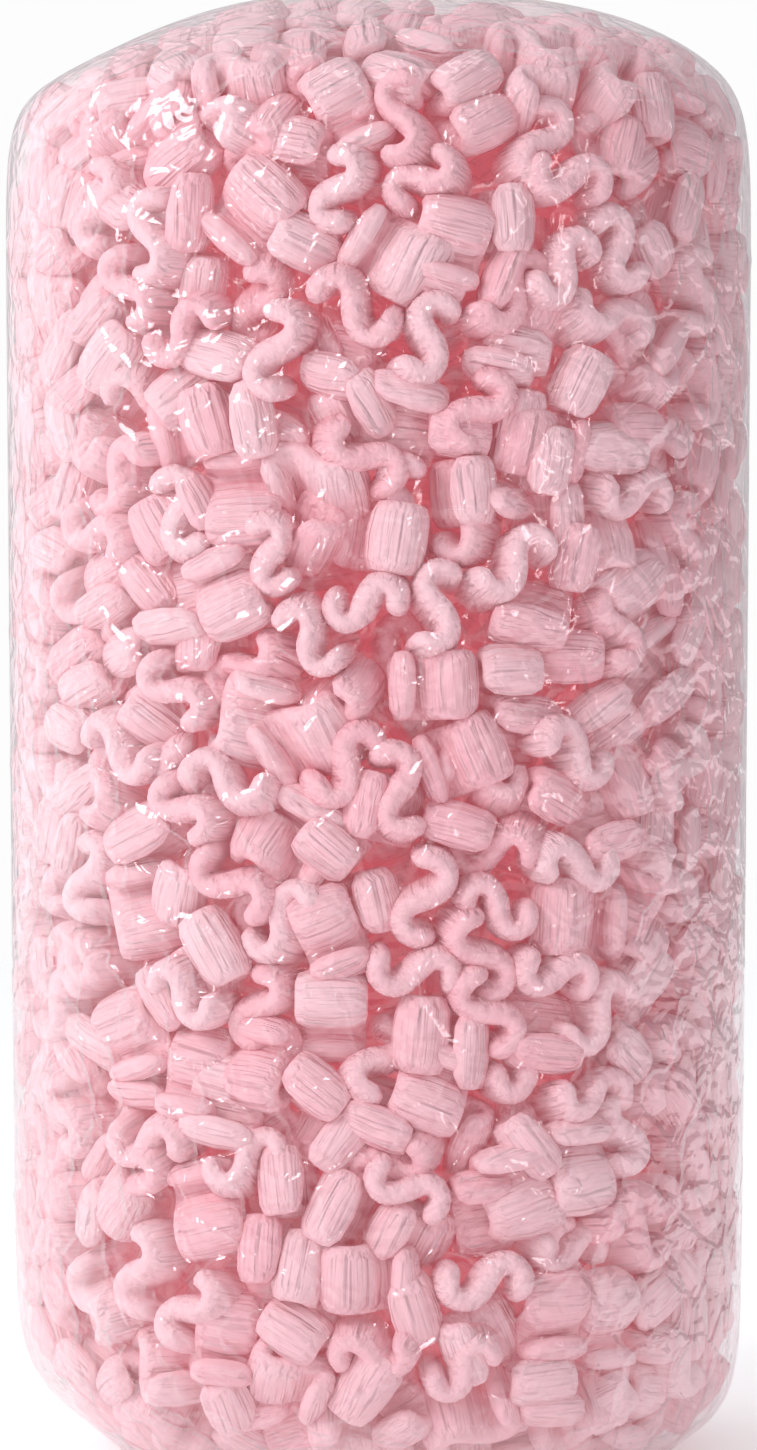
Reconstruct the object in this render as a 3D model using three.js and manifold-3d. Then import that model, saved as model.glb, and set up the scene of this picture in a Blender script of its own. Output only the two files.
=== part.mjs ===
import * as THREE from "three";
import { mergeVertices } from "three/addons/utils/BufferGeometryUtils.js";
import Module from "manifold-3d";

// A clear film bag filled tight with S-shaped foam peanuts, standing on its flat end.
// Millimetres and radians, +Z up, origin at the middle of the base, front towards -Y.

// The outside of the filled bag: upright walls that taper a little towards the base, a nearly flat top,
// and slanting shoulders where the film turns over the ends.
const bag = {
  height: 578,
  middle: 289, // height that the form is measured from
  halfWidthTop: 150.5,
  halfWidthBase: 145.5,
  halfDepthTop: 145,
  halfDepthBase: 140,
  squareness: 2.35, // 2 is an ellipse in plan, more is squarer
  edge: 25, // how sharply the walls, shoulders and ends meet
  topTilt: 0.05, // the top falls this much towards +X
  topReach: 288.4,
  shoulders: {
    top: { left: { lean: 0.51, reach: 286.6 }, right: { lean: 0.71, reach: 287.7 } },
    base: { left: { lean: 0.68, reach: 289.2 }, right: { lean: 0.585, reach: 305 } },
  },
};
const film = {
  thickness: 1,
  around: 44,
  rings: 30,
  sealWidth: 14,
  sealLength: 200,
  sealProud: 0.8, // two layers welded together
  sealBack: 34, // the flattened seal lies this far behind the middle
  ventRadius: 3,
  ventHeight: 500,
};
const peanut = {
  count: 56,
  ribbon: 9.8, // thickness of the foam ribbon
  ribbonLength: 55, // along its centreline
  turn: 3.0, // how far each end curls back from the middle
  length: 27, // along the extrusion
  stations: 11,
};
const fill = {
  gap: 2, // from the film to the heap
  around: 36,
  rings: 22,
  pocketGap: 0.6, // all round a peanut
};
const clearance = 1.3; // from a peanut to the film
const goldenAngle = Math.PI * (3 - Math.sqrt(5));
const pinkFoam = 0xf2b9c5;

const manifoldLibrary = await Module();
manifoldLibrary.setup();

function toSolid(geometry) {
  const bare = geometry.clone();
  bare.deleteAttribute("normal");
  bare.deleteAttribute("uv");
  const merged = mergeVertices(bare, 1e-4);
  return new manifoldLibrary.Manifold(
    new manifoldLibrary.Mesh({
      numProp: 3,
      vertProperties: new Float32Array(merged.attributes.position.array),
      triVerts: new Uint32Array(merged.index.array),
    }),
  );
}

function toGeometry(solid) {
  const mesh = solid.getMesh();
  const geometry = new THREE.BufferGeometry();
  geometry.setAttribute("position", new THREE.BufferAttribute(mesh.vertProperties, 3));
  geometry.setIndex(new THREE.BufferAttribute(mesh.triVerts, 1));
  geometry.computeVertexNormals();
  return geometry;
}

// How far a point is out towards the bag's surface: 1 on it, less inside. The sides, the top and the
// shoulders are blended so that they meet in soft edges.
function formAt(point, inset) {
  const up = THREE.MathUtils.clamp(point.z / bag.height, 0, 1);
  const halfWidth = THREE.MathUtils.lerp(bag.halfWidthBase, bag.halfWidthTop, up) - inset;
  const halfDepth = THREE.MathUtils.lerp(bag.halfDepthBase, bag.halfDepthTop, up) - inset;
  const side =
    (Math.abs(point.x / halfWidth) ** bag.squareness +
      Math.abs(point.y / halfDepth) ** bag.squareness) **
    (1 / bag.squareness);
  const lift = point.z - bag.middle;
  const outwards = side * halfWidth;
  const toRight = side > 0 ? (1 + point.x / outwards) / 2 : 0.5;
  const { left, right } = lift > 0 ? bag.shoulders.top : bag.shoulders.base;
  const lean = THREE.MathUtils.lerp(left.lean, right.lean, toRight);
  const reach = THREE.MathUtils.lerp(left.reach, right.reach, toRight) - inset;
  const shoulder = (Math.sin(lean) * outwards + Math.cos(lean) * Math.abs(lift)) / reach;
  const top = Math.max(
    0,
    (Math.sin(bag.topTilt) * point.x + Math.cos(bag.topTilt) * lift) / (bag.topReach - inset),
  );
  return (side ** bag.edge + shoulder ** bag.edge + top ** bag.edge) ** (1 / bag.edge);
}

// Moves a point along its line from the bag's middle on to the surface, or on to the flat base.
function onForm(point, inset) {
  const centre = new THREE.Vector3(0, 0, bag.middle);
  const way = point.clone().sub(centre);
  for (let i = 0; i < 12; i++) {
    way.divideScalar(formAt(way.clone().add(centre), inset));
  }
  const deepest = bag.middle - inset;
  if (way.z < -deepest) {
    way.multiplyScalar(-deepest / way.z);
  }
  return way.add(centre);
}

function outwardAt(point) {
  const step = 0.5;
  const slope = new THREE.Vector3();
  for (const axis of ["x", "y", "z"]) {
    const ahead = point.clone();
    const behind = point.clone();
    ahead[axis] += step;
    behind[axis] -= step;
    slope[axis] = formAt(ahead, 0) - formAt(behind, 0);
  }
  return slope.normalize();
}

// A closed skin of the bag's form. The rings of a sphere are gathered towards the shoulders first.
function bagSkin(inset, around, rings) {
  const gather = 0.55;
  const geometry = new THREE.SphereGeometry(1, around, rings);
  geometry.rotateX(Math.PI / 2);
  const places = geometry.attributes.position;
  const place = new THREE.Vector3();
  for (let i = 0; i < places.count; i++) {
    place.fromBufferAttribute(places, i);
    const ring = Math.hypot(place.x, place.y);
    const spread = ring > 1e-6 ? ring ** gather / ring : 0;
    place.set(
      place.x * spread * bag.halfWidthTop,
      place.y * spread * bag.halfDepthTop,
      bag.middle + Math.sign(place.z) * Math.abs(place.z) ** gather * bag.middle,
    );
    const moved = onForm(place, inset);
    places.setXYZ(i, moved.x, moved.y, moved.z);
  }
  return geometry;
}

function namedMesh(name, geometry, look) {
  const mesh = new THREE.Mesh(geometry, new THREE.MeshStandardMaterial(look));
  mesh.name = name;
  return mesh;
}

// The flattened weld, a strip that follows the top from side to side.
function sealStrip() {
  const steps = 12;
  const sink = 2; // into the top, so that the two join
  const upper = [];
  const lower = [];
  for (let i = 0; i <= steps; i++) {
    const x = (i / steps - 0.5) * film.sealLength;
    const top = onForm(new THREE.Vector3(x, film.sealBack, bag.height), 0);
    upper.push(new THREE.Vector2(top.x, top.z + film.sealProud));
    lower.push(new THREE.Vector2(top.x, top.z - sink));
  }
  const geometry = new THREE.ExtrudeGeometry(new THREE.Shape([...lower, ...upper.reverse()]), {
    depth: film.sealWidth,
    bevelEnabled: false,
  });
  geometry.rotateX(Math.PI / 2); // the outline stands in the XZ plane
  geometry.translate(0, film.sealBack + film.sealWidth / 2, 0);
  return geometry;
}

// The film is one tube, welded flat across its top end and laid down behind the middle. Its small vent
// lets the air out when it is filled.
function filmBag() {
  const outside = toSolid(bagSkin(0, film.around, film.rings));
  const inside = toSolid(bagSkin(film.thickness, film.around, film.rings));
  const vent = new THREE.CylinderGeometry(film.ventRadius, film.ventRadius, 40, 16);
  vent.translate(0, bag.halfDepthTop, film.ventHeight);
  const shell = outside.add(toSolid(sealStrip())).subtract(inside).subtract(toSolid(vent));
  return namedMesh("film_bag", toGeometry(shell), {
    color: 0xf4eef2,
    roughness: 0.15,
    metalness: 0,
    transparent: true,
    opacity: 0.25,
  });
}

// The S of the foam ribbon. The direction of its centreline swings back the same way towards both ends.
function ribbonCentreline() {
  const line = [new THREE.Vector2(0, 0)];
  const directions = [];
  const steps = 160;
  const step = peanut.ribbonLength / steps;
  let at = new THREE.Vector2(0, 0);
  for (let i = 0; i < steps; i++) {
    const along = ((i + 0.5) / steps) * 2 - 1;
    const direction = (peanut.turn * (1 - Math.cos(Math.PI * along))) / 2;
    directions.push(direction);
    at = new THREE.Vector2(at.x + step * Math.cos(direction), at.y + step * Math.sin(direction));
    line.push(at);
  }
  const middle = line[steps / 2];
  return { line: line.map((p) => p.clone().sub(middle)), directions, steps };
}

function ribbonOutline() {
  const { line, directions, steps } = ribbonCentreline();
  const half = peanut.ribbon / 2;
  const rounding = 0.72; // how far the corners of the two ends are drawn in
  const oneSide = [];
  const otherSide = [];
  for (let i = 0; i < peanut.stations; i++) {
    const k = Math.round((i / (peanut.stations - 1)) * steps);
    const direction = directions[Math.min(k, steps - 1)];
    const isEnd = i === 0 || i === peanut.stations - 1;
    const reach = isEnd ? half * rounding : half;
    const across = new THREE.Vector2(-Math.sin(direction), Math.cos(direction));
    oneSide.push(line[k].clone().addScaledVector(across, reach));
    otherSide.push(line[k].clone().addScaledVector(across, -reach));
  }
  const capLength = half * 0.55;
  const startWay = directions[0];
  const endWay = directions[steps - 1];
  const start = line[0].clone();
  start.x -= capLength * Math.cos(startWay);
  start.y -= capLength * Math.sin(startWay);
  const end = line[steps].clone();
  end.x += capLength * Math.cos(endWay);
  end.y += capLength * Math.sin(endWay);
  return [start, ...otherSide, end, ...oneSide.reverse()];
}

function peanutGeometry(outline) {
  const geometry = new THREE.ExtrudeGeometry(new THREE.Shape(outline), {
    depth: peanut.length,
    bevelEnabled: false,
  });
  geometry.translate(0, 0, -peanut.length / 2);
  return geometry;
}

// Each peanut lies against the film, at its own turn. They climb the bag in a spiral.
function peanutPlace(index, geometry) {
  const random = THREE.MathUtils.seededRandom;
  random(index + 1);
  const turn = new THREE.Euler(
    random() * 2 * Math.PI,
    random() * 2 * Math.PI,
    random() * 2 * Math.PI,
  );
  const low = 42;
  const high = 530;
  const azimuth = index * goldenAngle;
  const height = low + ((high - low) * (index + 0.5)) / peanut.count;
  const touch = onForm(
    new THREE.Vector3(
      Math.cos(azimuth) * bag.halfWidthTop,
      Math.sin(azimuth) * bag.halfDepthTop,
      height,
    ),
    0,
  );
  const outward = outwardAt(touch);
  const rotation = new THREE.Quaternion().setFromEuler(turn);
  const corners = [];
  const places = geometry.attributes.position;
  for (let i = 0; i < places.count; i++) {
    corners.push(new THREE.Vector3().fromBufferAttribute(places, i).applyQuaternion(rotation));
  }
  const reach = Math.max(...corners.map((corner) => corner.dot(outward)));
  const centre = touch.clone().addScaledVector(outward, -reach - film.thickness);
  const nearFilm = (corner) => formAt(corner.clone().add(centre), film.thickness + clearance) > 1;
  while (corners.some(nearFilm)) {
    centre.addScaledVector(outward, -0.25);
  }
  return { rotation, centre };
}

// The rest of the heap is joined into one solid, with a pocket round each of the separate peanuts.
function looseFill(places, size) {
  let heap = toSolid(bagSkin(film.thickness + fill.gap, fill.around, fill.rings));
  const pocket = new THREE.BoxGeometry(
    size.x + 2 * fill.pocketGap,
    size.y + 2 * fill.pocketGap,
    size.z + 2 * fill.pocketGap,
  );
  for (const place of places) {
    const cut = pocket.clone().applyQuaternion(place.rotation);
    cut.translate(place.centre.x, place.centre.y, place.centre.z);
    heap = heap.subtract(toSolid(cut));
  }
  return namedMesh("loose_fill", toGeometry(heap), {
    color: pinkFoam,
    roughness: 0.85,
    metalness: 0,
  });
}

function packingPeanutBag() {
  const group = new THREE.Group();
  group.name = "packing_peanut_bag";
  const geometry = peanutGeometry(ribbonOutline());
  geometry.computeBoundingBox();
  const size = geometry.boundingBox.getSize(new THREE.Vector3());
  const middle = geometry.boundingBox.getCenter(new THREE.Vector3());
  geometry.translate(-middle.x, -middle.y, -middle.z);
  const places = [];
  for (let i = 0; i < peanut.count; i++) {
    places.push(peanutPlace(i, geometry));
  }
  group.add(filmBag());
  group.add(looseFill(places, size));
  places.forEach((place, i) => {
    const name = "peanut_" + String(i + 1).padStart(2, "0");
    const mesh = namedMesh(name, geometry, { color: pinkFoam, roughness: 0.85, metalness: 0 });
    mesh.quaternion.copy(place.rotation);
    mesh.position.copy(place.centre);
    group.add(mesh);
  });
  return group;
}

export default packingPeanutBag();
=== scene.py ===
import math

import bmesh
import bpy
import numpy as np
from mathutils import Matrix, Vector
from mathutils.bvhtree import BVHTree
from mathutils.kdtree import KDTree


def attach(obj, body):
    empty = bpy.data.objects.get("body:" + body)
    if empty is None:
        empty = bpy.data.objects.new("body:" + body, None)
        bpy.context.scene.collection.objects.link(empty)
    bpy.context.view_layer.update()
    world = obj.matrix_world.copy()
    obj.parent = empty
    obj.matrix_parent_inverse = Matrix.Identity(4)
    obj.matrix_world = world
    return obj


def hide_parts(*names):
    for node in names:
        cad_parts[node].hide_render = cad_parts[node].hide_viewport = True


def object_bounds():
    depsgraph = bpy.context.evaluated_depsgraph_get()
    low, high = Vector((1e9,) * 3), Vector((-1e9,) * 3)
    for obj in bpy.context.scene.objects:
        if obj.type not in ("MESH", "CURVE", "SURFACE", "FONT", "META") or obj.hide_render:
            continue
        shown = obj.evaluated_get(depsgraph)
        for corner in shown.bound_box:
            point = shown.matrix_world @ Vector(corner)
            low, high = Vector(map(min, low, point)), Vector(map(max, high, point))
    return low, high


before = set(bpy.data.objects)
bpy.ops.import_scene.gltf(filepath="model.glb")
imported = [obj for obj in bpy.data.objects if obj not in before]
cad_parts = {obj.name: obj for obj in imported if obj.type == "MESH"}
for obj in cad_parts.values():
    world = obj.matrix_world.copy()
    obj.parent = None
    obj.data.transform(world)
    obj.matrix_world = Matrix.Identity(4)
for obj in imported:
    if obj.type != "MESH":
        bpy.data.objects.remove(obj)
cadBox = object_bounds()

# A clear film bag of pink S-shaped foam peanuts. Metres, +Z up, front towards -Y.
lowCorner, highCorner = cadBox
bagHeight = highCorner.z - lowCorner.z


# ---- camera, floor and light

studio = {
    "lens": 120,
    "viewHeight": 0.5814,  # what the picture takes in, top to bottom
    "aim": (0.0, 0.0, 0.2885),
    "keySize": 0.7,
    "keyPower": 15.2,
    "keyFrom": (-1.4, -1.15, 1.35),
    "fillSize": 1.4,
    "fillPower": 1.6,
    "fillFrom": (1.7, -1.2, 0.5),
    "fillColour": (0.95, 0.93, 1.0),
    # narrow lamps that glint in the film: width, power, place, colour, times taller
    "strips": (
        (0.12, 1.2, (-0.7, -1.9, 0.9), (1, 1, 1), 5),
        (0.12, 2, (1.3, -1.5, 0.7), (1, 1, 1), 5),
        (0.6, 1.2, (0.1, -0.8, 1.9), (1, 1, 1), 0.5),
    ),
    "surroundFront": 0.14,  # how bright the room is where nothing below is
    # the brighter parts of the room: axis, where each starts, where it is full, how bright
    "surround": (
        ("X", -0.1, -0.75, 0.95),
        ("X", 0.3, 0.9, 0.03),
        ("Z", 0.1, 0.9, 0.35),
        ("Y", 0.0, 1.0, 0.38),
    ),
    "floorColour": (0.97, 0.97, 0.975, 1),
    "floorRadius": 4,
    "floorGlow": 0.3,
    "bounces": 2,  # of light from one peanut to the next, to save time
}


def aimAt(obj, target):
    obj.rotation_euler = (Vector(target) - obj.location).to_track_quat("-Z", "Y").to_euler()


def makeCamera():
    data = bpy.data.cameras.new("view")
    camera = bpy.data.objects.new("view", data)
    bpy.context.collection.objects.link(camera)
    data.lens = studio["lens"]
    away = studio["viewHeight"] * data.lens / data.sensor_width
    aimX, aimY, aimZ = studio["aim"]
    camera.location = (aimX, aimY - away, aimZ)
    aimAt(camera, studio["aim"])
    data.clip_end = 50
    bpy.context.scene.camera = camera


def softLight(name, size, power, place, colour=(1, 1, 1), tall=1):
    data = bpy.data.lights.new(name, "AREA")
    data.shape = "RECTANGLE"
    data.size = size
    data.size_y = size * tall
    data.energy = power
    data.color = colour
    light = bpy.data.objects.new(name, data)
    bpy.context.collection.objects.link(light)
    light.location = place
    aimAt(light, (0, 0, bagHeight * 0.5))


def makeSurround():
    world = bpy.data.worlds.new("surround")
    bpy.context.scene.world = world
    world.use_nodes = True
    nodes, links = world.node_tree.nodes, world.node_tree.links
    nodes.clear()
    seen = nodes.new("ShaderNodeBackground")
    seen.inputs["Color"].default_value = (0.98, 0.98, 0.98, 1)
    seen.inputs["Strength"].default_value = 1.0
    lit = nodes.new("ShaderNodeBackground")
    lit.inputs["Color"].default_value = (0.97, 0.98, 1.0, 1)
    # bright on the left and behind the bag, dim elsewhere, so the film is milky on one side only
    around = nodes.new("ShaderNodeTexCoord")
    split = nodes.new("ShaderNodeSeparateXYZ")
    links.new(around.outputs["Generated"], split.inputs["Vector"])
    total = None
    for axis, start, end, strength in studio["surround"]:
        share = nodes.new("ShaderNodeMapRange")
        share.interpolation_type = "SMOOTHSTEP"
        share.inputs["From Min"].default_value = start
        share.inputs["From Max"].default_value = end
        share.inputs["To Max"].default_value = strength
        links.new(split.outputs[axis], share.inputs["Value"])
        added = mathNode(nodes, "ADD", 0, studio["surroundFront"])
        if total:
            links.new(total.outputs[0], added.inputs[0])
        links.new(share.outputs["Result"], added.inputs[1])
        total = added
    links.new(total.outputs[0], lit.inputs["Strength"])
    path = nodes.new("ShaderNodeLightPath")
    mix = nodes.new("ShaderNodeMixShader")
    out = nodes.new("ShaderNodeOutputWorld")
    links.new(path.outputs["Is Camera Ray"], mix.inputs["Fac"])
    links.new(lit.outputs[0], mix.inputs[1])
    links.new(seen.outputs[0], mix.inputs[2])
    links.new(mix.outputs[0], out.inputs["Surface"])


def makeFloor():
    bm = bmesh.new()
    bmesh.ops.create_circle(bm, cap_ends=True, segments=96, radius=studio["floorRadius"])
    floor = newPiece("floor", bm)
    material, nodes, links, shader = newMaterial("pale floor")
    shader.inputs["Roughness"].default_value = 0.8
    shader.inputs["Emission Color"].default_value = (1, 1, 1, 1)
    shader.inputs["Emission Strength"].default_value = studio["floorGlow"]
    material.cycles.emission_sampling = "NONE"
    speckle = nodes.new("ShaderNodeTexNoise")
    speckle.inputs["Scale"].default_value = 3
    ramp = nodes.new("ShaderNodeMix")
    ramp.data_type = "RGBA"
    ramp.inputs["A"].default_value = studio["floorColour"]
    ramp.inputs["B"].default_value = tuple(c * 0.98 for c in studio["floorColour"][:3]) + (1,)
    links.new(speckle.outputs["Fac"], ramp.inputs["Factor"])
    links.new(ramp.outputs["Result"], shader.inputs["Base Color"])
    floor.data.materials.append(material)


# ---- small helpers


def newPiece(name, bm):
    mesh = bpy.data.meshes.new(name)
    bm.to_mesh(mesh)
    bm.free()
    piece = bpy.data.objects.new(name, mesh)
    bpy.context.collection.objects.link(piece)
    return piece


def newMaterial(name):
    material = bpy.data.materials.new(name)
    material.use_nodes = True
    nodes, links = material.node_tree.nodes, material.node_tree.links
    shader = next(n for n in nodes if n.type == "BSDF_PRINCIPLED")
    return material, nodes, links, shader


def mathNode(nodes, operation, socket=None, value=0):
    node = nodes.new("ShaderNodeMath")
    node.operation = operation
    if socket is not None:
        node.inputs[socket].default_value = value
    return node


def noiseNode(nodes, scale, detail):
    node = nodes.new("ShaderNodeTexNoise")
    node.inputs["Scale"].default_value = scale
    node.inputs["Detail"].default_value = detail
    return node


def bumpNode(nodes, strength, distance):
    node = nodes.new("ShaderNodeBump")
    node.inputs["Strength"].default_value = strength
    node.inputs["Distance"].default_value = distance
    return node


def smoothShaded(mesh):
    mesh.polygons.foreach_set("use_smooth", np.ones(len(mesh.polygons), bool))


def setAttribute(mesh, name, kind, values):
    field = {"FLOAT": "value", "FLOAT_VECTOR": "vector"}[kind]
    layer = mesh.attributes.new(name, kind, "POINT")
    layer.data.foreach_set(field, np.asarray(values, np.float32).ravel())


def placesOf(mesh):
    found = np.empty(len(mesh.vertices) * 3, np.float32)
    mesh.vertices.foreach_get("co", found)
    return found.reshape(-1, 3).astype(float)


# ---- the form of the filled bag

bagForm = {
    "height": 0.578,
    "middle": 0.289,
    "halfWidth": (0.1455, 0.1505),  # at the base and at the top
    "halfDepth": (0.140, 0.145),
    "squareness": 2.35,  # 2 is an oval plan, more is squarer
    "edge": 25,  # how sharply the sides, shoulders and top meet
    "topTilt": 0.05,
    "topReach": 0.2884,
    # the chamfers round both ends: their angles, and how far they are from the middle
    "lean": ((0.68, 0.585), (0.51, 0.71)),  # base left and right, then top left and right
    "reach": ((0.2892, 0.305), (0.2866, 0.2877)),
}
formCentre = np.array([0, 0, bagForm["middle"]])


def between(ends, share):
    return ends[0] + (ends[1] - ends[0]) * share


# 1 on the bag's surface, less inside
def formAt(points, inset):
    x, y, z = points.T
    up = np.clip(z / bagForm["height"], 0, 1)
    halfWidth = between(bagForm["halfWidth"], up) - inset
    halfDepth = between(bagForm["halfDepth"], up) - inset
    power = bagForm["squareness"]
    side = (np.abs(x / halfWidth) ** power + np.abs(y / halfDepth) ** power) ** (1 / power)
    lift = z - bagForm["middle"]
    outwards = np.maximum(side * halfWidth, 1e-9)
    toRight = (1 + x / outwards) / 2
    over = (lift > 0).astype(int)
    lean = between(np.array(bagForm["lean"])[over].T, toRight)
    reach = between(np.array(bagForm["reach"])[over].T, toRight) - inset
    shoulder = (np.sin(lean) * outwards + np.cos(lean) * np.abs(lift)) / reach
    tilt = bagForm["topTilt"]
    top = np.maximum(math.sin(tilt) * x + math.cos(tilt) * lift, 0) / (bagForm["topReach"] - inset)
    edge = bagForm["edge"]
    return (side**edge + shoulder**edge + top**edge) ** (1 / edge)


# how far points are outside the form, and which way is out
def outsideForm(points, inset, step=1e-4):
    slope = np.empty_like(points)
    for axis in range(3):
        aside = np.zeros(3)
        aside[axis] = step
        slope[:, axis] = formAt(points + aside, inset) - formAt(points - aside, inset)
    slope /= 2 * step
    size = np.linalg.norm(slope, axis=1) + 1e-9
    return (formAt(points, inset) - 1) / size, slope / size[:, None]


def ontoForm(points, inset):
    way = points - formCentre
    for _ in range(12):
        way /= formAt(way + formCentre, inset)[:, None]
    deepest = bagForm["middle"] - inset
    low = way[:, 2] < -deepest
    way[low] *= (-deepest / way[low, 2])[:, None]
    return way + formCentre, low


# ---- foam peanuts

foamPeanut = {
    "stations": 12,
    "ribbon": 0.0098,
    "length": 0.055,  # along the S
    "turn": 3.0,
    "depth": 0.027,  # along the extrusion
    "dome": 0.0012,  # how far the cut ends swell
    "overLength": 0.2,
    "endWidth": 0.72,  # the ribbon's ends are narrower than its middle
    "endBulge": 0.3,  # and round
    "endDome": 0.6,
    "plump": 1.18,  # rounding off takes this much back
    "ribs": 0.05,  # how far every other station stands out
    "wobble": 0.05,
    "taper": 0.04,  # how unlike the two cut ends are: size, turn and shift
    "twist": 0.1,
    "shear": 0.0012,
    "lengths": (0.94, 1.07),
    "turns": (-0.25, 0.35),
    "depths": (0.84, 1.12),
    "ribbons": (0.97, 1.09),
    "kinds": 9,
    "seed": 11,
}


def ribbonLine(length, turn, steps=160):
    along = (np.arange(steps) + 0.5) / steps * 2 - 1
    way = turn * (1 - np.cos(np.pi * along)) / 2
    moves = np.stack([np.cos(way), np.sin(way)], 1) * length / steps
    line = np.vstack([[0, 0], np.cumsum(moves, 0)])
    return line - line[steps // 2], way


def peanutMesh(name, length, turn, depth, ribbon, rng=None):
    steps = 160
    stations = foamPeanut["stations"]
    dome = foamPeanut["dome"]
    line, way = ribbonLine(length + ribbon * foamPeanut["overLength"], turn, steps)
    ribs = foamPeanut["ribs"] * (-1.0) ** np.arange(stations)
    wobble = np.stack([ribs, ribs])
    if rng is not None:
        wobble += rng.normal(0, foamPeanut["wobble"], (2, stations))
    bm = bmesh.new()
    bmesh.ops.create_grid(bm, x_segments=stations - 1, y_segments=2, size=0.5)
    for vert in bm.verts:
        station = round((vert.co.x + 0.5) * (stations - 1))
        k = round(station / (stations - 1) * steps)
        direction = way[min(k, steps - 1)]
        isEnd = station in (0, stations - 1)
        isMiddle = abs(vert.co.y) < 0.1
        half = ribbon * vert.co.y * foamPeanut["plump"]
        half *= foamPeanut["endWidth"] if isEnd else 1
        half *= 1 + wobble[int(vert.co.y > 0)][station]
        ahead = isEnd * isMiddle * ribbon * foamPeanut["endBulge"] * (-1 if station == 0 else 1)
        vert.co = (
            line[k][0] - math.sin(direction) * half + math.cos(direction) * ahead,
            line[k][1] + math.cos(direction) * half + math.sin(direction) * ahead,
            -depth / 2 + dome / 2 - dome * isMiddle * (foamPeanut["endDome"] if isEnd else 1),
        )
    made = bmesh.ops.extrude_face_region(bm, geom=bm.faces[:])
    raised = [g for g in made["geom"] if isinstance(g, bmesh.types.BMVert)]
    bmesh.ops.scale(bm, vec=(1, 1, -1), verts=raised)
    if rng is not None:
        # no two are cut or squashed alike
        size = 1 + rng.normal(0, foamPeanut["taper"])
        twist = Matrix.Rotation(rng.normal(0, foamPeanut["twist"]), 3, "Z")
        bmesh.ops.scale(bm, vec=(size, size, 1), verts=raised)
        bmesh.ops.rotate(bm, matrix=twist, verts=raised)
        bmesh.ops.translate(bm, vec=(*rng.normal(0, foamPeanut["shear"], 2), 0), verts=raised)
    bmesh.ops.recalc_face_normals(bm, faces=bm.faces)
    mesh = bpy.data.meshes.new(name)
    bm.to_mesh(mesh)
    bm.free()
    return mesh


def peanutKinds():
    rng = np.random.default_rng(foamPeanut["seed"])
    sizes = [foamPeanut[key] for key in ("length", "turn", "depth", "ribbon")]
    kinds = [peanutMesh("kind 0", *sizes)]
    for i in range(1, foamPeanut["kinds"]):
        kinds.append(
            peanutMesh(
                f"kind {i}",
                foamPeanut["length"] * rng.uniform(*foamPeanut["lengths"]),
                foamPeanut["turn"] + rng.uniform(*foamPeanut["turns"]),
                foamPeanut["depth"] * rng.uniform(*foamPeanut["depths"]),
                foamPeanut["ribbon"] * rng.uniform(*foamPeanut["ribbons"]),
                rng,
            )
        )
    return kinds


# ---- where the peanuts lie

heap = {
    "count": 1230,
    "seed": 4,
    "rounds": 240,
    "ballsAlong": 7,
    "ballsDeep": 3,
    "wallGap": 0.0012,
    "crowding": 0.0006,  # how hard the heap presses on the film, a round
    "layers": (0.009, 0.023),  # depths below the film where hollows are looked for
    "topUps": 7,  # times that the hollows are filled
    "topUpMost": 75,  # peanuts each time
    "hollow": 0.0108,  # half the width of a hollow that takes one more
    "hollowApart": 0.03,
    "probes": 4000,
    "startInset": 0.014,
    "startSize": 0.5,
    "eagerness": 1.5,  # how much of each overlap one round takes away
    "slack": 4e-5,
    "pressedDepth": 0.09,
    "levelDepth": 0.03,
    "mostShift": 0.004,  # in one round
    "mostSpin": 0.25,
    "outerDepth": 0.042,  # peanuts deeper than this are hidden, and stay plain
    "levelling": 0.03,  # how much a peanut at the film turns to lie flat on it, a round
    "grownBy": 0.45,  # the share of the rounds in which the peanuts swell to full size
}


# the balls that stand for one peanut while the heap settles
def peanutBalls():
    line, _ = ribbonLine(foamPeanut["length"], foamPeanut["turn"])
    picked = np.round(np.linspace(0, len(line) - 1, heap["ballsAlong"])).astype(int)
    reach = (foamPeanut["depth"] - foamPeanut["ribbon"]) / 2
    heights = np.linspace(-reach, reach, heap["ballsDeep"])
    return np.array([[*line[k], h] for k in picked for h in heights]), foamPeanut["ribbon"] / 2


def turnsFrom(quaternions):
    w, x, y, z = quaternions.T
    rows = [
        1 - 2 * (y * y + z * z), 2 * (x * y - z * w), 2 * (x * z + y * w),
        2 * (x * y + z * w), 1 - 2 * (x * x + z * z), 2 * (y * z - x * w),
        2 * (x * z - y * w), 2 * (y * z + x * w), 1 - 2 * (x * x + y * y),
    ]
    return np.stack(rows, 1).reshape(-1, 3, 3)


def smallTurns(spin):
    angle = np.linalg.norm(spin, axis=1)
    axis = spin / np.maximum(angle, 1e-12)[:, None]
    parts = [np.cos(angle / 2)[:, None], axis * np.sin(angle / 2)[:, None]]
    return turnsFrom(np.concatenate(parts, 1))


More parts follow.
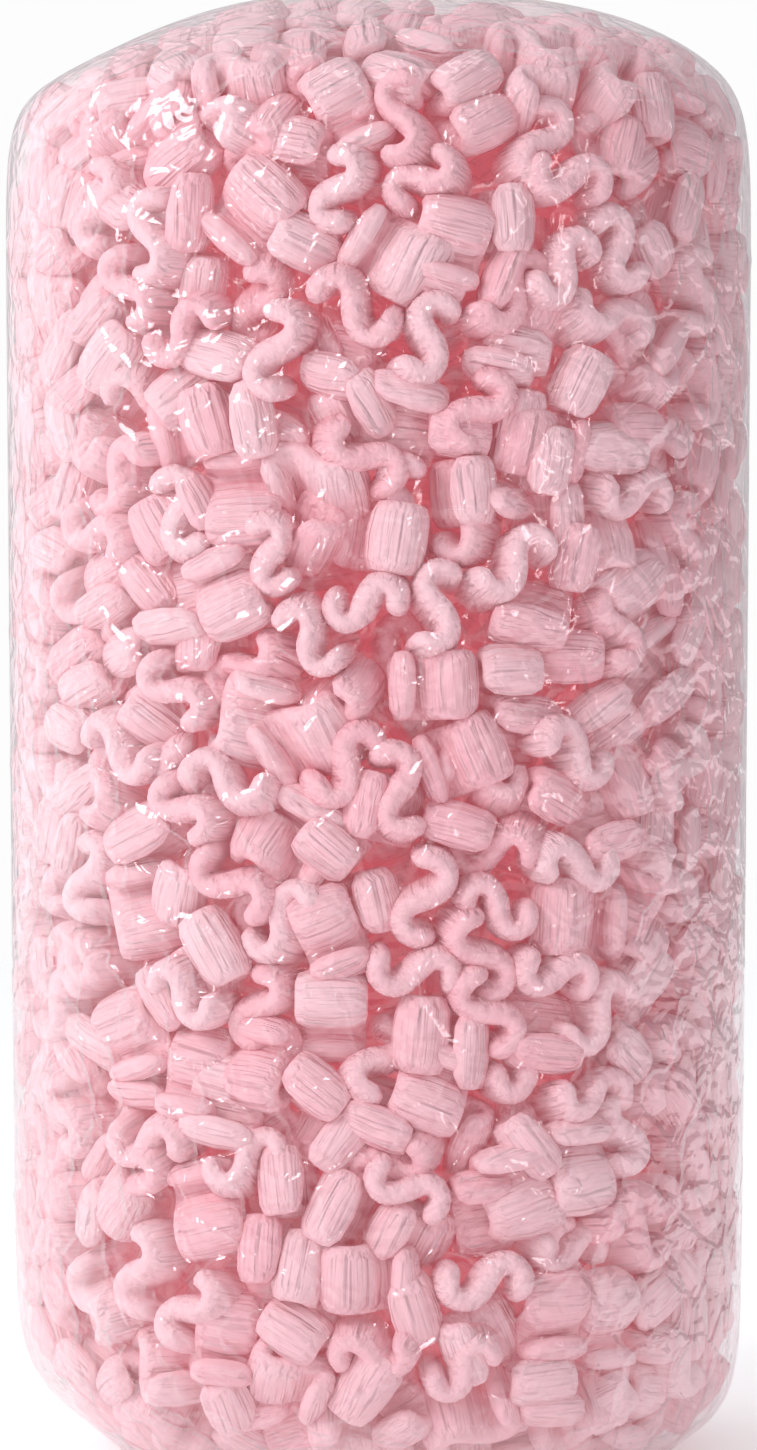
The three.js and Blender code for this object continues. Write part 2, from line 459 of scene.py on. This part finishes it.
# pairs of balls of different peanuts within reach of each other, by sorting them into cells
def nearPairs(points, reach, owner):
    cell = np.floor((points - points.min(0)) / reach).astype(np.int64) + 1
    across = cell.max(0) + 2
    key = (cell[:, 0] * across[1] + cell[:, 1]) * across[2] + cell[:, 2]
    order = np.argsort(key, kind="stable")
    sortedKey = key[order]
    firsts, seconds = [], []
    steps = [(a, b, c) for a in (0, 1) for b in (-1, 0, 1) for c in (-1, 0, 1)]
    for dx, dy, dz in steps:
        shift = (dx * across[1] + dy) * across[2] + dz
        if shift < 0:
            continue
        low = np.searchsorted(sortedKey, key + shift, "left")
        count = np.searchsorted(sortedKey, key + shift, "right") - low
        first = np.repeat(np.arange(len(points)), count)
        ramp = np.arange(count.sum()) - np.repeat(np.cumsum(count) - count, count)
        second = order[np.repeat(low, count) + ramp]
        keep = owner[first] != owner[second]
        if shift == 0:
            keep &= first < second
        first, second = first[keep], second[keep]
        near = ((points[first] - points[second]) ** 2).sum(1) < reach * reach
        firsts.append(first[near])
        seconds.append(second[near])
    return np.concatenate(firsts), np.concatenate(seconds)


def summed(index, values, length):
    return np.stack([np.bincount(index, values[:, k], length) for k in range(3)], 1).astype(float)


def randomTurns(rng, count):
    quaternions = rng.normal(size=(count, 4))
    return turnsFrom(quaternions / np.linalg.norm(quaternions, axis=1)[:, None])


# the middles of the widest hollows in the layers next to the film
def hollowsAt(rng, points):
    tree = KDTree(len(points))
    for i, point in enumerate(points):
        tree.insert(point, i)
    tree.balance()
    ways = rng.normal(size=(heap["probes"], 3)) * (0.5, 0.5, 1) + formCentre
    spots = np.vstack([ontoForm(ways, layer)[0] for layer in heap["layers"]])
    spots = spots[spots[:, 2] > 0.012]
    room = np.array([tree.find(spot)[2] for spot in spots])
    chosen = []
    for i in np.argsort(-room):
        if room[i] < heap["hollow"] or len(chosen) == heap["topUpMost"]:
            break
        if all(np.linalg.norm(spots[i] - other) > heap["hollowApart"] for other in chosen):
            chosen.append(spots[i])
    print(f"  {len(chosen)} hollows filled, the widest {room.max() * 2000:.0f} mm")
    return np.array(chosen).reshape(-1, 3)


# Peanuts start small and at random, swell to full size, and push each other away inside the film.
# The first ones have the CAD peanuts' places and stay where they are.
def settleHeap(fixedPlaces, fixedTurns):
    rng = np.random.default_rng(heap["seed"])
    balls, ballRadius = peanutBalls()
    spread = Vector(highCorner) - Vector(lowCorner)
    starts = rng.uniform(0, 1, (heap["count"] * 3, 3)) * np.array(spread) + np.array(lowCorner)
    inset = heap["startInset"]
    starts = starts[(formAt(starts, inset) < 1) & (starts[:, 2] > inset)][: heap["count"]]
    places = np.vstack([fixedPlaces, starts])
    turns = np.concatenate([fixedTurns, randomTurns(rng, len(starts))])
    size = np.full(len(places), heap["startSize"])
    size[: len(fixedPlaces)] = 1
    each = len(balls)
    growth = (1 - heap["startSize"]) / heap["grownBy"] / heap["rounds"]
    topUpRounds = (np.linspace(0.3, 0.75, heap["topUps"]) * heap["rounds"]).astype(int)
    pairs, pairedAt = None, None
    for number in range(heap["rounds"]):
        share = number / heap["rounds"]
        if number in topUpRounds:
            arms = np.einsum("nij,kj->nki", turns, balls)
            added = hollowsAt(rng, (places[:, None] + arms).reshape(-1, 3))
            places = np.vstack([places, added])
            turns = np.concatenate([turns, randomTurns(rng, len(added))])
            size = np.append(size, np.full(len(added), heap["startSize"]))
            pairs = None
        count = len(places)
        still = np.arange(count) < len(fixedPlaces)
        owner = np.repeat(np.arange(count), each)
        size = np.minimum(size + growth, 1)
        radius = np.repeat(size, each) * ballRadius
        arms = np.einsum("nij,kj->nki", turns, balls)
        points = (places[:, None] + arms).reshape(-1, 3)
        if pairs is None or np.abs(points - pairedAt).max() > 0.002:
            pairs, pairedAt = nearPairs(points, 2 * ballRadius + 0.004, owner), points.copy()
        first, second = pairs
        gap = points[first] - points[second]
        apart = np.linalg.norm(gap, axis=1)
        touching = radius[first] + radius[second]
        hit = apart < touching
        first, second, gap, apart = first[hit], second[hit], gap[hit], apart[hit]
        overlap = touching[hit] - apart
        shove = gap * (overlap / 2 / np.maximum(apart, 1e-9))[:, None]
        firstShare = np.where(still[owner[second]], 2.0, 1.0)
        secondShare = np.where(still[owner[first]], 2.0, 1.0)
        moves = summed(first, shove * (firstShare * overlap)[:, None], len(points))
        moves -= summed(second, shove * (secondShare * overlap)[:, None], len(points))
        both, twice = np.append(first, second), np.append(overlap, overlap)
        weight = np.bincount(both, twice, len(points)).astype(float)
        inset = heap["wallGap"] + radius
        past = np.where(formAt(points, inset) > 1)[0]
        far, out = outsideForm(points[past], inset[past])
        moves[past] -= out * (far * far)[:, None]
        weight[past] += far
        sunk = np.maximum(inset - points[:, 2], 0)
        moves[:, 2] += sunk * sunk
        weight += sunk
        moves = moves.reshape(count, each, 3)
        weight = weight.reshape(count, each)
        total = np.maximum(weight.sum(1), 1e-6)
        shift = moves.sum(1) / total[:, None] * heap["eagerness"]
        lever = ((arms**2).sum(2) * weight).sum(1) + total * heap["slack"]
        spin = np.cross(arms, moves).sum(1) / lever[:, None] * heap["eagerness"]
        depth, out = outsideForm(places, 0)
        press = heap["crowding"] * np.clip(1 + depth / heap["pressedDepth"], 0, 1) * (1 - share)
        shift += out * press[:, None]
        best = np.abs(np.einsum("nij,ni->nj", turns, out))[:, 1:].argmax(1) + 1
        axis = turns[np.arange(count), :, best]
        axis *= np.sign((axis * out).sum(1))[:, None]
        level = heap["levelling"] * (depth > -heap["levelDepth"]) * (1 - share)
        spin += np.cross(axis, out) * level[:, None]
        shift[still] = 0
        spin[still] = 0
        places = places + np.clip(shift, -heap["mostShift"], heap["mostShift"])
        turns = smallTurns(np.clip(spin, -heap["mostSpin"], heap["mostSpin"])) @ turns
        if number % 60 == 0 or number == heap["rounds"] - 1:
            print(f"  round {number}: overlap {overlap.mean() * 1000:.2f} mm,"
                  f" worst twentieth {np.percentile(overlap, 95) * 1000:.2f} mm")
    return places, turns


# A peanut is moved in until every corner of its own shape is inside the film and off the floor.
def keepInside(places, turns, kindOf, kinds, first):
    for i in range(first, len(places)):
        shape = placesOf(kinds[kindOf[i]]) @ turns[i].T
        for _ in range(6):
            past, out = outsideForm(shape + places[i], heap["wallGap"])
            worst = past.argmax()
            if past[worst] > 0:
                places[i] -= out[worst] * past[worst]
            lowest = (shape[:, 2] + places[i][2]).min()
            places[i][2] += max(heap["wallGap"] - lowest, 0)
            if past[worst] < 1e-4 and lowest > heap["wallGap"] - 1e-4:
                break


# The CAD peanuts keep their places: a peanut's own axes are matched to those of its node.
def nodePose(node, model):
    corners = np.unique(np.round(placesOf(node.data), 6), axis=0)
    middle = corners.mean(0)
    _, nodeAxes = np.linalg.eigh(np.cov((corners - middle).T))
    _, modelAxes = np.linalg.eigh(np.cov(model.T))
    tree = KDTree(len(corners))
    for i, corner in enumerate(corners - middle):
        tree.insert(corner, i)
    tree.balance()
    best = None
    for flips in ((1, 1, 1), (-1, 1, 1), (1, -1, 1), (1, 1, -1),
                  (-1, -1, 1), (-1, 1, -1), (1, -1, -1), (-1, -1, -1)):
        turn = nodeAxes @ np.diag(flips) @ modelAxes.T
        if np.linalg.det(turn) < 0:
            continue
        miss = max(tree.find(turn @ point)[2] for point in model)
        if best is None or miss < best[0]:
            best = (miss, turn)
    return best[0], middle, best[1]


# the corners of the CAD peanut about their middle
def nodeModel():
    line, way = ribbonLine(foamPeanut["length"], foamPeanut["turn"])
    steps = len(way)
    half = foamPeanut["ribbon"] / 2
    last = 10
    outline = []
    for i in range(last + 1):
        k = round(i / last * steps)
        direction = way[min(k, steps - 1)]
        reach = half * (foamPeanut["endWidth"] if i in (0, last) else 1)
        across = np.array([-math.sin(direction), math.cos(direction)]) * reach
        outline += [line[k] + across, line[k] - across]
    for k, sign in ((0, -1), (steps, 1)):
        direction = way[min(k, steps - 1)]
        ahead = np.array([math.cos(direction), math.sin(direction)])
        outline.append(line[k] + ahead * sign * half * 0.55)
    reach = foamPeanut["depth"] / 2
    return np.array([[*p, h] for p in outline for h in (-reach, reach)])


# ---- making the heap's pieces


def joinCopies(name, kinds, poses, tints, offsets):
    shapes = []
    for kind in kinds:
        places = placesOf(kind)
        loops = np.empty(len(kind.loops), np.int32)
        kind.loops.foreach_get("vertex_index", loops)
        sizes = np.empty(len(kind.polygons), np.int32)
        kind.polygons.foreach_get("loop_total", sizes)
        shapes.append((places, loops, sizes))
    points, owns, loopParts, sizeParts, tintParts, sideParts = [], [], [], [], [], []
    first = 0
    for (kindIndex, place, turn), tint, offset in zip(poses, tints, offsets):
        places, loops, sizes = shapes[kindIndex]
        points.append(places @ turn.T + place)
        owns.append(places + offset)
        loopParts.append(loops + first)
        sizeParts.append(sizes)
        tintParts.append(np.full(len(places), tint))
        fromEnd = np.abs(places[:, 2]).max() - np.abs(places[:, 2])
        sideParts.append(fromEnd > foamPeanut["dome"] * 0.6)
        first += len(places)
    points = np.concatenate(points)
    loops = np.concatenate(loopParts)
    sizes = np.concatenate(sizeParts)
    mesh = bpy.data.meshes.new(name)
    mesh.vertices.add(len(points))
    mesh.vertices.foreach_set("co", points.astype(np.float32).ravel())
    mesh.loops.add(len(loops))
    mesh.loops.foreach_set("vertex_index", loops.astype(np.int32))
    mesh.polygons.add(len(sizes))
    mesh.polygons.foreach_set("loop_start", (np.cumsum(sizes) - sizes).astype(np.int32))
    mesh.update(calc_edges=True)
    mesh.validate()
    setAttribute(mesh, "foamPlace", "FLOAT_VECTOR", np.concatenate(owns))
    setAttribute(mesh, "tint", "FLOAT", np.concatenate(tintParts))
    setAttribute(mesh, "side", "FLOAT", np.concatenate(sideParts))
    # how far below the film each corner lies, which sets the foam's painted shade and painted glow
    setAttribute(mesh, "sunk", "FLOAT", np.maximum(-outsideForm(points, 0)[0], 0))
    smoothShaded(mesh)
    piece = bpy.data.objects.new(name, mesh)
    bpy.context.collection.objects.link(piece)
    return piece


def roundOff(piece, levels=1):
    rounding = piece.modifiers.new("rounding", "SUBSURF")
    rounding.levels = levels
    rounding.render_levels = levels


# ---- foam

foamLook = {
    "pale": (0.93, 0.615, 0.655, 1),
    "deep": (0.90, 0.45, 0.505, 1),
    # painted shade: the redder colour given to peanuts deep below the film, fading in between the
    # two gapDepth values
    "paintedBuriedShade": (0.93, 0.54, 0.59, 1),
    "gapDepth": (0.008, 0.045),  # below the film
    # painted glow: pink light given off by the foam itself, in place of light scattered through the
    # foam and between peanuts
    "paintedGlow": (1, 0.26, 0.31, 1),
    "paintedGlowStrength": (0.06, 0.13),  # at the film, and more below it
    "roughness": (0.55, 0.8),
    "drawnOut": (1, 1, 0.05),  # the grooves run along the extrusion
    "grooveScale": 250,
    "grooveStrength": (0.22, 0.85),  # on the cut ends and on the sides
    "swellScale": 130,
    "cellScale": 1500,
    "blotches": 0.35,
    "seed": 5,
}


def foamMaterial():
    material, nodes, links, shader = newMaterial("pink foam")
    material.cycles.emission_sampling = "NONE"
    place = nodes.new("ShaderNodeAttribute")
    place.attribute_name = "foamPlace"
    tint = nodes.new("ShaderNodeAttribute")
    tint.attribute_name = "tint"
    drawn = nodes.new("ShaderNodeMapping")
    drawn.inputs["Scale"].default_value = foamLook["drawnOut"]
    links.new(place.outputs["Vector"], drawn.inputs["Vector"])
    grooves = noiseNode(nodes, foamLook["grooveScale"], 2)
    links.new(drawn.outputs["Vector"], grooves.inputs["Vector"])
    swells = noiseNode(nodes, foamLook["swellScale"], 1)
    links.new(place.outputs["Vector"], swells.inputs["Vector"])
    cells = noiseNode(nodes, foamLook["cellScale"], 1)
    links.new(place.outputs["Vector"], cells.inputs["Vector"])
    swellBump = bumpNode(nodes, 0.4, 0.002)
    links.new(swells.outputs["Fac"], swellBump.inputs["Height"])
    # the cut ends are smoother than the sides
    side = nodes.new("ShaderNodeAttribute")
    side.attribute_name = "side"
    grooved = nodes.new("ShaderNodeMapRange")
    grooved.inputs["To Min"].default_value = foamLook["grooveStrength"][0]
    grooved.inputs["To Max"].default_value = foamLook["grooveStrength"][1]
    links.new(side.outputs["Fac"], grooved.inputs["Value"])
    grooveBump = bumpNode(nodes, 1, 0.006)
    links.new(grooved.outputs["Result"], grooveBump.inputs["Strength"])
    links.new(grooves.outputs["Fac"], grooveBump.inputs["Height"])
    links.new(swellBump.outputs["Normal"], grooveBump.inputs["Normal"])
    cellBump = bumpNode(nodes, 0.25, 0.0003)
    links.new(cells.outputs["Fac"], cellBump.inputs["Height"])
    links.new(grooveBump.outputs["Normal"], cellBump.inputs["Normal"])
    links.new(cellBump.outputs["Normal"], shader.inputs["Normal"])
    blotches = mathNode(nodes, "MULTIPLY_ADD", 1, foamLook["blotches"])
    links.new(swells.outputs["Fac"], blotches.inputs[0])
    links.new(tint.outputs["Fac"], blotches.inputs[2])
    colour = nodes.new("ShaderNodeMix")
    colour.data_type = "RGBA"
    colour.inputs["A"].default_value = foamLook["deep"]
    colour.inputs["B"].default_value = foamLook["pale"]
    links.new(blotches.outputs[0], colour.inputs["Factor"])
    # painted shade: deeper peanuts are given a redder colour, in place of the light that reaches
    # them through the foam above them and reddens on its way
    sunk = nodes.new("ShaderNodeAttribute")
    sunk.attribute_name = "sunk"
    paintedBuriedShade = nodes.new("ShaderNodeMapRange")
    paintedBuriedShade.inputs["From Min"].default_value = foamLook["gapDepth"][0]
    paintedBuriedShade.inputs["From Max"].default_value = foamLook["gapDepth"][1]
    links.new(sunk.outputs["Fac"], paintedBuriedShade.inputs["Value"])
    paintedShadeMix = nodes.new("ShaderNodeMix")
    paintedShadeMix.data_type = "RGBA"
    paintedShadeMix.inputs["B"].default_value = foamLook["paintedBuriedShade"]
    links.new(paintedBuriedShade.outputs["Result"], paintedShadeMix.inputs["Factor"])
    links.new(colour.outputs["Result"], paintedShadeMix.inputs["A"])
    links.new(paintedShadeMix.outputs["Result"], shader.inputs["Base Color"])
    # painted glow: the foam gives off pink light, a little at the film and more the deeper it lies
    shader.inputs["Emission Color"].default_value = foamLook["paintedGlow"]
    paintedGlow = mathNode(nodes, "MULTIPLY_ADD", 1, foamLook["paintedGlowStrength"][1])
    paintedGlow.inputs[2].default_value = foamLook["paintedGlowStrength"][0]
    links.new(paintedBuriedShade.outputs["Result"], paintedGlow.inputs[0])
    links.new(paintedGlow.outputs[0], shader.inputs["Emission Strength"])
    rough = nodes.new("ShaderNodeMapRange")
    rough.inputs["To Min"].default_value = foamLook["roughness"][0]
    rough.inputs["To Max"].default_value = foamLook["roughness"][1]
    links.new(cells.outputs["Fac"], rough.inputs["Value"])
    links.new(rough.outputs["Result"], shader.inputs["Roughness"])
    return material


# ---- film

filmLook = {
    "flat": (0.93, 0.70),  # the tube opened out: round the bag, and along it with the ends
    "cuts": 69,  # in each side of the block that the film starts as
    "thickness": 0.0002,
    # the two layers welded flat across the top
    "weld": {"back": 0.034, "width": 0.014, "length": 0.2, "raised": 0.0008},
    "proud": 0.0009,  # clear of the foam
    "deepest": 0.0022,  # the air in the bag holds the film out this far over a hollow
    "rounds": 170,
    "cling": 0.00005,  # how far each round pulls the film in
    # how much of the light is thrown back: seen edge on, face on, and how sharply it changes
    "edgeOn": 0.6,
    "faceOn": 0.05,
    "steepness": 1.4,
    "sheen": (0.97, 0.84, 0.87, 1),
    "wrinkleScale": 85,
    "creaseScale": 40,
    "creaseWidth": 0.09,
    "creaseDrift": 0.012,
}


def filmBlock():
    bm = bmesh.new()
    bmesh.ops.create_cube(bm, size=2)
    uprights = [e for e in bm.edges if abs(e.verts[0].co.z - e.verts[1].co.z) > 1]
    bmesh.ops.subdivide_edges(bm, edges=uprights, cuts=1)
    bmesh.ops.subdivide_edges(bm, edges=bm.edges[:], cuts=filmLook["cuts"], use_grid_fill=True)
    return bm


# The film starts on the bag's form and is drawn tight over whatever stands proud inside it.
def makeFilm(inside):
    film = newPiece("bag_film", filmBlock())
    block = placesOf(film.data)
    block[:, :2] = np.tan(block[:, :2] * math.pi / 4)
    half = np.array([bagForm["halfWidth"][1], bagForm["halfDepth"][1], bagForm["middle"]])
    rest, onFloor = ontoForm(block * half + formCentre, 0)
    _, out = outsideForm(rest, 0)
    out[onFloor] = (0, 0, -1)
    least = np.full(len(rest), -filmLook["deepest"])
    above = 0.01
    for tree, middle, size in solidTrees(inside):
        close = np.where(np.linalg.norm(rest - middle, axis=1) < size + filmLook["deepest"])[0]
        for i in close:
            start = Vector(rest[i] + out[i] * above)
            reach = tree.ray_cast(start, Vector(-out[i]), above + filmLook["deepest"])[3]
            if reach is not None:
                least[i] = max(least[i], above - reach)
    least += filmLook["proud"]
    print("film has found the peanuts under it")
    edges = np.empty(len(film.data.edges) * 2, np.int32)
    film.data.edges.foreach_get("vertices", edges)
    one, other = edges.reshape(-1, 2).T
    ways = np.bincount(one, minlength=len(rest)) + np.bincount(other, minlength=len(rest))
    height = np.maximum(least, 0.002)
    for _ in range(filmLook["rounds"]):
        places = rest + out * height[:, None]
        around = summed(one, places[other], len(rest)) + summed(other, places[one], len(rest))
        drawn = ((around / ways[:, None] - rest) * out).sum(1) - filmLook["cling"]
        height = np.maximum(drawn, least)
        height[onFloor] = 0
    places = rest + out * height[:, None]
    weld = filmLook["weld"]
    onWeld = np.abs(places[:, 1] - weld["back"]) < weld["width"] / 2
    onWeld &= (np.abs(places[:, 0]) < weld["length"] / 2) & (places[:, 2] > bagHeight * 0.9)
    places[onWeld, 2] += weld["raised"]
    places[:, 2] = np.maximum(places[:, 2], filmLook["thickness"])
    film.data.vertices.foreach_set("co", places.astype(np.float32).ravel())
    film.data.update()
    smoothShaded(film.data)
    return film


def solidTrees(pieces):
    graph = bpy.context.evaluated_depsgraph_get()
    for piece in pieces:
        corners = placesOf(piece.data)
        middle = (corners.min(0) + corners.max(0)) / 2
        size = np.linalg.norm(corners - middle, axis=1).max()
        yield BVHTree.FromObject(piece, graph), middle, size


def filmMaterial():
    material, nodes, links, shader = newMaterial("clear film")
    out = next(n for n in nodes if n.type == "OUTPUT_MATERIAL")
    shader.inputs["Base Color"].default_value = filmLook["sheen"]
    shader.inputs["Metallic"].default_value = 0.9
    shader.inputs["Roughness"].default_value = 0.1
    place = nodes.new("ShaderNodeTexCoord")
    wrinkles = noiseNode(nodes, filmLook["wrinkleScale"], 1.5)
    wrinkles.inputs["Distortion"].default_value = 0.6
    links.new(place.outputs["Object"], wrinkles.inputs["Vector"])
    soft = bumpNode(nodes, 0.8, 0.003)
    links.new(wrinkles.outputs["Fac"], soft.inputs["Height"])
    # fine straight creases where the film is pulled from one peanut to the next
    drift = nodes.new("ShaderNodeVectorMath")
    drift.operation = "MULTIPLY_ADD"
    drift.inputs[1].default_value = (filmLook["creaseDrift"],) * 3
    links.new(wrinkles.outputs["Color"], drift.inputs[0])
    links.new(place.outputs["Object"], drift.inputs[2])
    pulls = nodes.new("ShaderNodeTexVoronoi")
    pulls.feature = "DISTANCE_TO_EDGE"
    pulls.inputs["Scale"].default_value = filmLook["creaseScale"]
    links.new(drift.outputs["Vector"], pulls.inputs["Vector"])
    crease = nodes.new("ShaderNodeMapRange")
    crease.inputs["From Max"].default_value = filmLook["creaseWidth"]
    crease.inputs["To Min"].default_value = 1
    crease.inputs["To Max"].default_value = 0
    links.new(pulls.outputs["Distance"], crease.inputs["Value"])
    bump = bumpNode(nodes, 0.7, 0.0012)
    links.new(crease.outputs["Result"], bump.inputs["Height"])
    links.new(soft.outputs["Normal"], bump.inputs["Normal"])
    links.new(bump.outputs["Normal"], shader.inputs["Normal"])
    clear = nodes.new("ShaderNodeBsdfTransparent")
    clear.inputs["Color"].default_value = (0.985, 0.98, 0.985, 1)
    facing = nodes.new("ShaderNodeLayerWeight")
    links.new(bump.outputs["Normal"], facing.inputs["Normal"])
    steep = mathNode(nodes, "POWER", 1, filmLook["steepness"])
    links.new(facing.outputs["Facing"], steep.inputs[0])
    veil = mathNode(nodes, "MULTIPLY_ADD", 1, filmLook["edgeOn"])
    veil.inputs[2].default_value = filmLook["faceOn"]
    links.new(steep.outputs[0], veil.inputs[0])
    outside = nodes.new("ShaderNodeMixShader")
    links.new(veil.outputs[0], outside.inputs["Fac"])
    links.new(clear.outputs[0], outside.inputs[1])
    links.new(shader.outputs[0], outside.inputs[2])
    # light is only thrown back off the outside of the wall
    side = nodes.new("ShaderNodeNewGeometry")
    mix = nodes.new("ShaderNodeMixShader")
    links.new(side.outputs["Backfacing"], mix.inputs["Fac"])
    links.new(outside.outputs[0], mix.inputs[1])
    links.new(clear.outputs[0], mix.inputs[2])
    # light on its way in or out of the bag isn't slowed down by the creases
    path = nodes.new("ShaderNodeLightPath")
    passing = mathNode(nodes, "MAXIMUM")
    links.new(path.outputs["Is Shadow Ray"], passing.inputs[0])
    links.new(path.outputs["Is Diffuse Ray"], passing.inputs[1])
    through = nodes.new("ShaderNodeBsdfTransparent")
    through.inputs["Color"].default_value = (0.95, 0.94, 0.95, 1)
    ends = nodes.new("ShaderNodeMixShader")
    links.new(passing.outputs[0], ends.inputs["Fac"])
    links.new(mix.outputs[0], ends.inputs[1])
    links.new(through.outputs[0], ends.inputs[2])
    links.new(ends.outputs[0], out.inputs["Surface"])
    return material


# ---- put it together

makeCamera()
makeSurround()
makeFloor()
softLight("key", studio["keySize"], studio["keyPower"], studio["keyFrom"])
for strip in studio["strips"]:
    softLight("strip", *strip)
softLight("fill", studio["fillSize"], studio["fillPower"], studio["fillFrom"], studio["fillColour"])
bpy.context.scene.view_settings.view_transform = "Standard"
bpy.context.scene.cycles.diffuse_bounces = studio["bounces"]
print("camera, floor and lights are set")

kinds = peanutKinds()
model = nodeModel()
modelMiddle = model.mean(0)
ownNodes = sorted(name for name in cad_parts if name.startswith("peanut_"))
fixedPlaces, fixedTurns = [], []
worstMiss = 0
for name in ownNodes:
    miss, middle, turn = nodePose(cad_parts[name], model - modelMiddle)
    worstMiss = max(worstMiss, miss)
    fixedPlaces.append(middle - turn @ modelMiddle)
    fixedTurns.append(turn)
print(f"CAD peanuts matched to {worstMiss * 1000:.2f} mm")
fixedPlaces, fixedTurns = np.array(fixedPlaces), np.array(fixedTurns)
places, turns = settleHeap(fixedPlaces, fixedTurns)
print("heap has settled")

foam = foamMaterial()
rng = np.random.default_rng(foamLook["seed"])
tints = rng.uniform(0.1, 0.9, len(places))
offsets = rng.uniform(-5, 5, (len(places), 3))
kindOf = rng.integers(1, len(kinds), len(places))
keepInside(places, turns, kindOf, kinds, len(ownNodes))
depths = -outsideForm(places, 0)[0]
depths = np.minimum(depths, places[:, 2])
pieces = []
for i, name in enumerate(ownNodes):
    own = [(0, places[i], turns[i])]
    piece = joinCopies("foam_" + name, kinds, own, tints[i:i + 1], offsets[i:i + 1])
    roundOff(piece)
    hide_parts(name)
    pieces.append(piece)
loose = np.arange(len(ownNodes), len(places))
outer = loose[depths[loose] < heap["outerDepth"]]
inner = loose[depths[loose] >= heap["outerDepth"]]
angle = np.arctan2(places[outer, 0], -places[outer, 1])
groups = np.array_split(outer[np.argsort(angle)], 3) + [inner]
for i, group in enumerate(groups):
    poses = [(kindOf[k], places[k], turns[k]) for k in group]
    name = "heap_core" if i == 3 else f"heap_side_{i + 1}"
    piece = joinCopies(name, kinds, poses, tints[group], offsets[group])
    if name != "heap_core":
        roundOff(piece)
    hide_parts("loose_fill")
    pieces.append(piece)
for piece in pieces:
    piece.data.materials.append(foam)
    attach(piece, "root")
print(f"{len(places)} peanuts are made, {len(inner)} of them deep inside")

film = makeFilm(pieces)
wall = film.modifiers.new("film wall", "SOLIDIFY")
wall.thickness = filmLook["thickness"]
wall.offset = 1
film.data.materials.append(filmMaterial())
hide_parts("film_bag")
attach(film, "root")
print("film is drawn tight")
